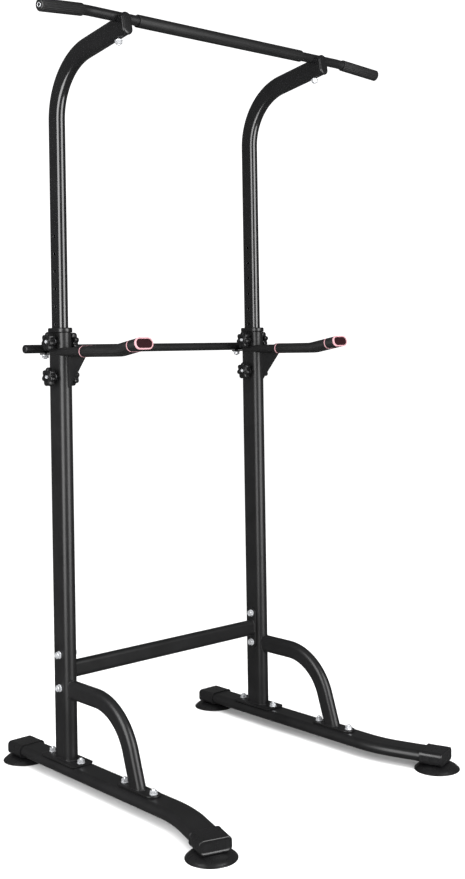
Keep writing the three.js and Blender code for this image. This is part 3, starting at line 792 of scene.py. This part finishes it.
# %% Front braces
BRACE, BRACE_Z = (30, 54), 258
for name, side in SIDES.items():
    line = Line((0, -20, BRACE_Z), -Y, X).straight(130, 3).bend(160, 72, 3).straight(105, 2)
    arm = oval_tube(*BRACE, line)
    post = stacked([(40.6, 80.6, 0), (40.6, 80.6, 500)], *UPRIGHT)
    floor = plate(200, 900, -80, PLATE_TOP - 0.3, (0, -300, 0), Z, X)
    bolts = [BOLTS["brace_rear"], BOLTS["brace_front"]]
    foot = stacked(eased(44, 158, PLATE_LOW, PLATE_TOP, 0.7), (0, -sum(bolts) / 2, 0), Z, X)
    foot = drilled(foot, *[pin(BOLT_HOLE, 40, 70, (0, -forward, 0)) for forward in bolts])
    heading, place_at = line.headings[-1], line.places[-1]
    landing = place_at + heading * (PLATE_TOP - place_at[2]) / heading[2]
    on_plate = (BRACE[0], BRACE[1] / abs(heading[2]))
    weld = oval_bead(*on_plate, (0, landing[1], PLATE_TOP), Z, X, 2.3)
    ring = oval(*BRACE, 12)
    x, z = ring[:, 0], ring[:, 1] + BRACE_Z
    y = -20 - np.sqrt(np.maximum(20.3**2 - x**2, 0))
    path = np.stack([x, y, z], 1)
    out = np.stack([ring[:, 0] / 15, np.zeros(len(ring)), ring[:, 1] / 27], 1)
    out /= np.linalg.norm(out, axis=1)[:, None]
    collar_weld = bead(path, out, np.tile(-Y, (len(path), 1)), 2.0)
    shells = [drilled(arm, post, floor), foot, weld, collar_weld]
    make(f"front_brace_{name}", shells, satin_coat, side=side)

# %% [markdown]
# Four bolts on each side clamp the post's plate and the brace's foot to the rail.

# %% Rail bolts
SEAT = PLATE_TOP + GAP
RAIL_GRIP = SEAT - (RAIL_TOP - RAIL_H - GAP)
for name, side in SIDES.items():
    for where, forward in BOLTS.items():
        shells = bolt(RAIL_GRIP, (0, -forward, SEAT), Z, X)
        make(f"rail_bolt_{where}_{name}", shells, zinc, side=side)

# %% [markdown]
# The crossbar ties the posts together low down. Its ends are welded to oval plates, and
# two bolts go through each plate and the post.

# %% Crossbar and its bolts
FLAT_BAR = (50, 25)
inner = POST_X - LOWER[0] / 2 - GAP
line = Line((-inner + 3, 0, CROSS_Z), X, Z).straight(2 * (inner - 3), 6)
shells = [oval_tube(*FLAT_BAR, line)]
for way in SIDES.values():
    start = (way * inner, 0, CROSS_Z)
    end_plate = stacked(eased(130, 36, 0, 4, 0.6), start, -way * X, Z)
    heights = (CROSS_Z - CROSS_BOLT, CROSS_Z + CROSS_BOLT)
    holes = [pin(BOLT_HOLE, -9, 9, (way * inner, 0, z), X, Y) for z in heights]
    shells.append(drilled(end_plate, *holes))
    shells.append(oval_bead(*FLAT_BAR, (way * (inner - 4), 0, CROSS_Z), -way * X, Z, 2.2))
make("crossbar", shells, satin_coat)
for name, side in SIDES.items():
    for level, way in (("upper", 1), ("lower", -1)):
        start = (side * (LOWER[0] / 2 + GAP), 0, CROSS_Z + way * CROSS_BOLT)
        shells = bolt(LOWER[0] + 3 * GAP + 4, start, side * X, Y)
        make(f"crossbar_bolt_{level}_{name}", shells, zinc, side=side)

# %% [markdown]
# The rear bar is a plain round tube on the two tongues, held by a bolt from below at each,
# with a domed plug in each end.


# %% Rear bar
def plug(radius, dome, start, heading, across):
    """A stem inside the tube, a flange as wide as the tube, and a low dome over it."""
    stem = radius - WALL - GAP
    turn = np.linspace(0, np.pi / 2, 7)
    cap = [(radius * (0.72 + 0.28 * np.cos(t)), dome * (0.25 + 0.65 * np.sin(t))) for t in turn]
    profile = [(0, -15), (stem - 0.6, -15), (stem, -14), (stem, GAP), (radius, GAP), *cap]
    profile += [(radius * 0.4, dome * 0.97), (0, dome)]
    return turned(profile, start, heading, across, 36)


half = (rear_high[0] - rear_low[0]) / 2
line = Line((-half, REAR_Y, REAR_Z), X, Z).straight(2 * half, 8)
bar = tube(circle(12.5), circle(10.5), line)
holes = [pin(BOLT_HOLE, REAR_Z - 18, REAR_Z, (s * POST_X, REAR_Y, 0)) for s in SIDES.values()]
make("rear_bar", [drilled(bar, *holes)], satin_coat)
for name, side in SIDES.items():
    end = plug(12.5, 5, (side * half, REAR_Y, REAR_Z), side * X, Z)
    make(f"rear_bar_plug_{name}", [end], plastic)
    start = (0, REAR_Y, TONGUE_TOP - 4 - GAP)
    make(f"rear_bar_bolt_{name}", hanging_bolt(-16.5, start), zinc, side=side)

# %% [markdown]
# A dip handle is a flat-oval tube that lies flat, embraces the post with its notched rear
# end and rises gently to its tip. A plate gusset below takes the bending load. The foam
# sleeve over it has thin pink bands, and a pink trim with a red inset closes its end.

# %% Dip handles
HANDLE_Z = span("dip_grip_right")[0][2] + 16
LEVEL, LIFT, LIFT_R, TIP_RUN = 266, 9.5, 120, 100.6


def handle_line(start):
    """Level from `start` forward of the post, a gentle bend up, and straight to the tip."""
    line = Line((0, -start, HANDLE_Z), -Y, X).straight(LEVEL - start, 3)
    return line.bend(LIFT_R, -LIFT, 1.5).straight(TIP_RUN, 2)


def gusset_ring(thick):
    """The gusset's outline in (forward, up), as a ring at x = thick."""
    under = HANDLE_Z - 12.5
    outline = np.array([(39, 1114), (44, 1114), (125, under), (125, under + 1), (39, under + 1)])
    return np.stack([np.full(len(outline), thick), -outline[:, 0], outline[:, 1]], 1)


for name, side in SIDES.items():
    post = stacked([(40.6, 80.6, 900), (40.6, 80.6, 1400)], *UPRIGHT)
    behind = plate(200, 200, -100, 100, (0, 120, HANDLE_Z), Z, X)
    handle = oval_tube(*FLAT_BAR, handle_line(-20))
    gusset = drilled(skin([gusset_ring(-2), gusset_ring(2)]), post)
    make(f"dip_handle_{name}", [drilled(handle, post, behind), gusset], satin_coat, side=side)

# %% [markdown]
# A foam sleeve is pushed over each handle, with two thin pink bands let into it. The trim is
# plugged into the tube's end: a pink ring with a dark red inset a little below its face.

# %% Dip grips and their trim
GRIP_W, GRIP_H, GRIP_FROM = 60, 32, 125


def sleeve(line, outer, inner_size):
    """A foam tube whose rims are rounded: its end sections shrink by a quarter circle."""
    ease = 1.6
    rounded = []
    for t in np.linspace(0, np.pi / 2, 5):
        inset = 2 * ease * (1 - np.sin(t))
        rounded.append((outer[0] - inset, outer[1] - inset, ease * (1 - np.cos(t))))
    up = np.cross(line.headings, line.across)
    rings = []
    for index, back in ((0, 1), (-1, -1)):
        for size_x, size_y, inward in rounded if back > 0 else rounded[::-1]:
            flat = oval(size_x, size_y)
            middle = line.places[index] + back * line.headings[index] * inward
            rings.append(middle + flat[:, :1] * line.across + flat[:, 1:] * up[index])
        if back > 0:
            rings += list(carried(oval(*outer), line)[1:-1])
    rings += list(carried(oval(*inner_size), line)[::-1])
    return skin(rings, joined=True)


def grip_ring(inset, height):
    """The grip's section less `inset` millimetres each way, at a height."""
    return GRIP_W - inset, GRIP_H - inset, height


def band(line, along):
    """A thin ring round the grip at `along` millimetres from its start, just proud of the foam."""
    width = 3.0
    places, headings = np.array(line.places), np.array(line.headings)
    reach = np.concatenate([[0], np.cumsum(np.linalg.norm(np.diff(places, axis=0), axis=1))])
    middle = np.array([np.interp(along, reach, places[:, k]) for k in range(3)])
    heading = np.array([np.interp(along, reach, headings[:, k]) for k in range(3)])
    heading /= np.linalg.norm(heading)
    outline = [(3, 0), (0.4, 0), (0, 0.5), (0, width - 0.5), (0.4, width), (3, width)]
    sections = [grip_ring(*corner) for corner in outline]
    start = middle - heading * width / 2
    return stacked(sections, start, heading, line.across, joined=True, finish=1)


for name, side in SIDES.items():
    line = handle_line(GRIP_FROM)
    length = LEVEL - GRIP_FROM + LIFT_R * math.radians(LIFT) + TIP_RUN
    foam_tube = sleeve(line, (GRIP_W - 0.8, GRIP_H - 0.8), (50.6, 25.6))
    shells = [foam_tube, band(line, 10), band(line, length - 34)]
    grip = make(f"dip_grip_{name}", shells, dip_foam, pink, side=side)
    tip, heading = line.places[-1], line.headings[-1]
    rim = [(1.6, GAP), (0, 1.1), (0, 4.4), (0.9, 5.7), (2.4, 6.2), (5.6, 6.3), (6.8, 5.6), (7, 4.4)]
    face = [grip_ring(*corner) for corner in rim]
    ring = stacked([(45.4, 20.4, -15), (45.4, 20.4, GAP), *face], tip, heading, X)
    pad = [grip_ring(*corner) for corner in ((8.4, 4.0), (7.8, 4.7), (9.4, 5.3), (18, 5.7))]
    inset = stacked(pad, tip, heading, X, finish=1)
    make(f"dip_grip_cap_{name}", [ring, inset], pink, red_inset, side=side)

# %% [markdown]
# The upper posts slide in the lower ones and turn forward in one wide bend to carry the
# bar. The row of holes lets the height be set every 50 mm. Their walls show bare steel
# where the knob's screw has rubbed the coat away. That steel is also a painted highlight,
# standing in for light reflected off the holes' edges.

# %% Upper posts
UPPER = (30, 60)
UPPER_LOW = span("upper_post_right")[0][2]
HOLES = [KNOBS["lower"] + 50 * i for i in range(9)]
ARM_BEND, ARM_R, ARM_ANGLE, ARM_RUN = 1875, 180, 80.7, 184


def arm_line():
    """Up from the bottom, forward through the bend and straight to the cap."""
    line = Line((0, 0, UPPER_LOW), Z, X).straight(ARM_BEND - UPPER_LOW, 6)
    return line.bend(ARM_R, ARM_ANGLE, 3).straight(ARM_RUN, 3)


def hole_edge(z, way):
    """A narrow ring on the hole's rim, from the tube's inner wall out to its face."""
    profile = [(5.5, 12.9), (5.15, 13.4), (5.15, 14.5), (5.9, 15.12), (6.1, 15), (5.9, 14.6)]
    profile.append((5.5, 14.2))
    ring = lambda radius: circle(radius, 28)
    return stacked(profile, (0, 0, z), way * X, Y, ring=ring, joined=True, finish=1)


arm_end = arm_line()
for name, side in SIDES.items():
    post = oval_tube(*UPPER, arm_end, 12)
    tools = [pin(KNOB_HOLE, -30, 30, (0, 0, z), X, Y) for z in HOLES]
    tools.append(pin(BAR_HOLE, -30, 30, (0, BAR_Y, BAR_Z), X, Y, 48))
    tools.append(pin(BOLT_HOLE, -80, 0, (0, BAR_Y, BAR_Z)))
    # Rings of bare, rubbed steel on each hole's rim. They are also a painted highlight for the
    # light reflected off its edge.
    edges = [hole_edge(z, way) for z in HOLES for way in (-1, 1)]
    make(f"upper_post_{name}", [drilled(post, *tools), *edges], gloss_coat, bare_edge_and_highlight, side=side)
    tip, heading = arm_end.places[-1], arm_end.headings[-1]
    rim = [(1.0, GAP), (0.2, 0.9), (0, 1.6), (0, 4.0), (0.5, 5.6), (1.6, 6.9), (3.4, 7.8)]
    rim += [(6, 8.2), (9, 8.3)]
    lip = [(33 - 2 * inset, 63 - 2 * inset, height) for inset, height in rim]
    cap = stacked([(25.4, 55.4, -10), (25.4, 55.4, GAP), *lip], tip, heading, X)
    make(f"arm_cap_{name}", [cap], plastic, side=side)

# %% [markdown]
# The pull-up bar bends forward and down a little at both ends and sits in a notch in each
# arm, held by a bolt from below. Foam covers its middle, and ribbed foam its ends.

# %% Pull-up bar
BAR_R, CORNER, BAR_BEND, TIP = 14, 479, 140, 161.6
DROOP, TILT = math.radians(10.2), math.radians(42)
CENTRE_HALF, CENTRE_R, END_R, END_LENGTH = 313, 17.5, 17, 141
TANGENT = BAR_BEND * math.tan(DROOP / 2)
run = TIP - 3
slope = np.array([0, math.cos(TILT), math.sin(TILT)])
ACROSS = np.cross(X, slope)
inward = X * math.cos(DROOP) + slope * math.sin(DROOP)
line = Line(np.array([-CORNER, BAR_Y, BAR_Z]) - inward * run, inward, ACROSS)
line.straight(run - TANGENT, 2).bend(BAR_BEND, -math.degrees(DROOP), 1.5)
line.straight(2 * (CORNER - TANGENT), 12).bend(BAR_BEND, -math.degrees(DROOP), 1.5)
line.straight(run - TANGENT, 2)
bar = tube(circle(BAR_R), circle(BAR_R - WALL), line)
holes = [pin(BOLT_HOLE, BAR_Z - 30, BAR_Z, (s * POST_X, BAR_Y, 0)) for s in SIDES.values()]
make("pull_up_bar", [drilled(bar, *holes)], satin_coat)


# %% [markdown]
# The middle grip is plain and the end grips are ribbed along their length. A plug closes
# each tube end. A bright zinc ring round its middle is a painted highlight, standing in
# for the small bright circle of reflected light there. The bolts come up through the arms
# into the bar.


# %% Bar grips, plugs and bolts
def ribbed(radius):
    """r(t) = radius - 0.5 + 0.5 clip(1.4 cos 22t, -1, 0.8), at 8 points to a rib."""
    ribs = 22
    turn = np.arange(ribs * 8) / (ribs * 8) * 2 * np.pi
    wave = 0.5 * np.clip(1.4 * np.cos(ribs * turn), -1, 0.8)
    return (radius - 0.5 + wave)[:, None] * np.stack([np.cos(turn), np.sin(turn)], 1)


def bar_sleeve(ring, radius, length, start, heading, across):
    """A foam tube: the outer ring eased at both rims, and the bore back through it."""
    ease = 1.4
    sides = len(ring(radius))
    turn = np.linspace(0, np.pi / 2, 5)
    rims = [(radius - ease * (1 - np.sin(t)), ease * (1 - np.cos(t))) for t in turn]
    rims += [(r, length - h) for r, h in rims[::-1]]
    bore = circle(BAR_HOLE, sides)
    up = np.cross(heading, across)
    rings = []
    for flat, height in [*((ring(r), h) for r, h in rims), (bore, length), (bore, 0)]:
        rings.append(start + heading * height + flat[:, :1] * across + flat[:, 1:] * up)
    return skin(rings, joined=True)


start = np.array([-CENTRE_HALF, BAR_Y, BAR_Z])
shell = bar_sleeve(lambda radius: circle(radius, 56), CENTRE_R, 2 * CENTRE_HALF, start, X, Z)
grip = make("centre_grip", [shell], bar_foam)
for name, side in SIDES.items():
    heading = X * side * math.cos(DROOP) - slope * math.sin(DROOP)
    tip = np.array([side * CORNER, BAR_Y, BAR_Z]) + heading * run
    shell = bar_sleeve(ribbed, END_R, END_LENGTH, tip - heading * END_LENGTH, heading, ACROSS)
    grip = make(f"end_grip_{name}", [shell], bar_foam)
    # The zinc ring on the plug's dome is a painted highlight for the bright circle reflected there.
    profile = [(6.2, 2.4), (6.2, 3.2), (5.6, 3.5), (4.9, 3.3), (4.6, 2.4)]
    ring = turned(profile, tip, heading, ACROSS, 28, finish=1)
    make(f"end_plug_{name}", [plug(BAR_R, 3, tip, heading, ACROSS), ring], plastic, zinc)
    rise = math.radians(90 - ARM_ANGLE)
    arm_y, arm_z = arm_end.places[-1][1:]
    middle = arm_z + math.tan(rise) * (arm_y - BAR_Y)
    seat = middle - 30 / math.cos(rise) - math.tan(rise) * WASHER_R - GAP
    start = (0, BAR_Y, seat)
    make(f"bar_bolt_{name}", hanging_bolt(seat - BAR_Z + 4, start), zinc, side=side)

# %% [markdown]
# The star knobs are moulded round a zinc-plated screw. Seven round lobes give the fingers
# a hold. Around the hub is a recess, and the screw's end shows bright in its middle.


# %% Star knobs
def star_ring(radius, wave):
    """r(t) = radius - wave (1 - cos 7t), with the crests rounded out by a second cosine."""
    turn = np.arange(140) / 140 * 2 * np.pi
    lobes = 1 - np.cos(7 * turn)
    r = radius - wave * lobes + 0.15 * wave * (1 - np.cos(14 * turn))
    return r[:, None] * np.stack([np.cos(turn), np.sin(turn)], 1)


def knob(way, level):
    """The star's back, its rounded rim, its face, the hub's recess, and the screw and washer."""
    start, heading, across = (0, 0, level), way * X, -way * Z
    back = [(12, 0, 29.4), (20, 0.6, 30.6), (23.6, 2.2, 31.2), (25.6, 3.0, 32.2)]
    rim = [(26.9, 3.5, 33.8), (27.5, 3.7, 36.0), (27.5, 3.7, 43.4), (27.0, 3.5, 45.4)]
    face = [(25.9, 3.2, 47.0), (24.2, 2.7, 48.0), (21.5, 1.6, 48.5), (17.5, 0.4, 48.8)]
    hub = [(14.5, 0, 49.6), (13.6, 0, 49.9), (12.6, 0, 49.7), (11.4, 0, 48.2), (10.8, 0, 46.0)]
    recess = [(8, 0, 45.6), (5.2, 0, 45.5)]
    body = stacked(back + rim + face + hub + recess, start, heading, across, ring=star_ring)
    neck = turned([(8.4, 22.1), (9, 22.7), (9, 28.8), (12, 29.6)], start, heading, across, 36)
    stud = [(4.2, 15.4), (5, 16.2), (5, 45), (4.9, 49.6), (4.3, 50.4), (2.2, 50.6), (1.8, 49.6)]
    shank = turned([*stud, (0, 49.5)], start, heading, across, 28, finish=1)
    profile = [(8.8, 20.3), (9.0, 20.6), (9.0, 21.9), (8.7, 22.2)]
    ring = turned(profile, start, heading, across, 36, finish=1)
    return [body, neck, shank, ring]


for name, side in SIDES.items():
    for face, way in (("outer", side), ("inner", -side)):
        for level, z in KNOBS.items():
            make(f"knob_{level}_{face}_{name}", knob(way, z), plastic, zinc, side=side)

# %% [markdown]
# The studio is a wide floor of pale paper under a white sky, bright enough that no horizon
# shows. It is hidden from reflections, so that black tubes stay black.


# %% Floor
paper = Finish("pale_paper", Specular_IOR_Level=0.0)
fibres = paper.noise(900, 3)
colour = paper.blend(fibres, (0.86, 0.86, 0.86), (0.9, 0.9, 0.9))
paper.wear(Base_Color=colour, Roughness=fibres * 0.1 + 0.7)
FLOOR_HALF = 60.0
corners = [(x * FLOOR_HALF, y * FLOOR_HALF, 0) for x, y in ((-1, -1), (1, -1), (1, 1), (-1, 1))]
floor_mesh = bpy.data.meshes.new("studio_floor")
floor_mesh.from_pydata(corners, [], [(0, 1, 2, 3)])
floor_mesh.materials.append(paper.material)
floor = bpy.data.objects.new("studio_floor", floor_mesh)
floor.visible_glossy = False
scene.collection.objects.link(floor)
print(f"floor: {2 * FLOOR_HALF:.0f} m square")

# %% [markdown]
# The camera stands at chest height, left of the machine and turned a little off level. Two
# tall lights, one to the left and one in front, draw the bright lines down the tubes, and
# their width sets how broad those lines are. A wide skylight gives the soft shadows.


# %% Camera and lights
def aim(thing, location, target):
    """Points an object's -Z axis at a target."""
    thing.location = location
    thing.rotation_euler = (Vector(target) - Vector(location)).to_track_quat("-Z", "Y").to_euler()
    scene.collection.objects.link(thing)
    return thing


FOCAL, AZIMUTH, ROLL, HORIZON = 1192.3, 0.73387, 0.01604, 348.07
HEIGHT_PX = 879
camera = bpy.data.objects.new("camera", bpy.data.cameras.new("camera"))
camera.data.lens = FOCAL / HEIGHT_PX * 36
camera.data.shift_y = (HORIZON - HEIGHT_PX / 2) / HEIGHT_PX
camera.location = (-2.2898, -2.85655 + POST_Y * MM, 1.21877)
camera.rotation_mode = "XYZ"
level = Vector((math.sin(AZIMUTH), math.cos(AZIMUTH), 0)).to_track_quat("-Z", "Y").to_matrix()
camera.rotation_euler = (level @ Matrix.Rotation(-ROLL, 3, "Z")).to_euler()
scene.collection.objects.link(camera)
scene.camera = camera


def area(name, width, height, power, location, target):
    """A soft rectangular light."""
    lamp = bpy.data.lights.new(name, "AREA")
    lamp.shape, lamp.size, lamp.size_y, lamp.energy = "RECTANGLE", width, height, power
    return aim(bpy.data.objects.new(name, lamp), location, target)


def round_the_tower(azimuth, distance, height):
    """A place at an azimuth, in degrees from -Y towards -X, round the posts."""
    turn = math.radians(azimuth)
    return (-distance * math.sin(turn), POST_Y * MM - distance * math.cos(turn), height)


middle = (0, POST_Y * MM, 1.1)
for name, azimuth in (("strip_left", 84), ("strip_front", -2)):
    area(name, 2.2, 3.6, 165, round_the_tower(azimuth, 3.4, 1.5), middle)
sun = bpy.data.lights.new("skylight", "SUN")
sun.energy, sun.angle = 2.0, math.radians(48)
skylight = aim(bpy.data.objects.new("skylight", sun), (-1.0, 1.0, 5.0), (0, 0, 0))
skylight.visible_glossy = False
world = bpy.data.worlds.new("studio")
world.use_nodes = True
scene.world = world
nodes, links = world.node_tree.nodes, world.node_tree.links
rays = nodes.new("ShaderNodeLightPath")
for ray, otherwise, seen in (("Is Camera Ray", 0.62, 1.2), ("Is Glossy Ray", None, 0.1)):
    step = nodes.new("ShaderNodeMix")
    links.new(rays.outputs[ray], step.inputs[0])
    if otherwise is None:
        links.new(previous.outputs[0], step.inputs[2])
    else:
        step.inputs[2].default_value = otherwise
    step.inputs[3].default_value = seen
    previous = step
links.new(previous.outputs[0], nodes["Background"].inputs["Strength"])
nodes["Background"].inputs["Color"].default_value = (1, 1, 1, 1)
scene.view_settings.view_transform = "Standard"
print("camera and", len(bpy.data.lights), "lights")
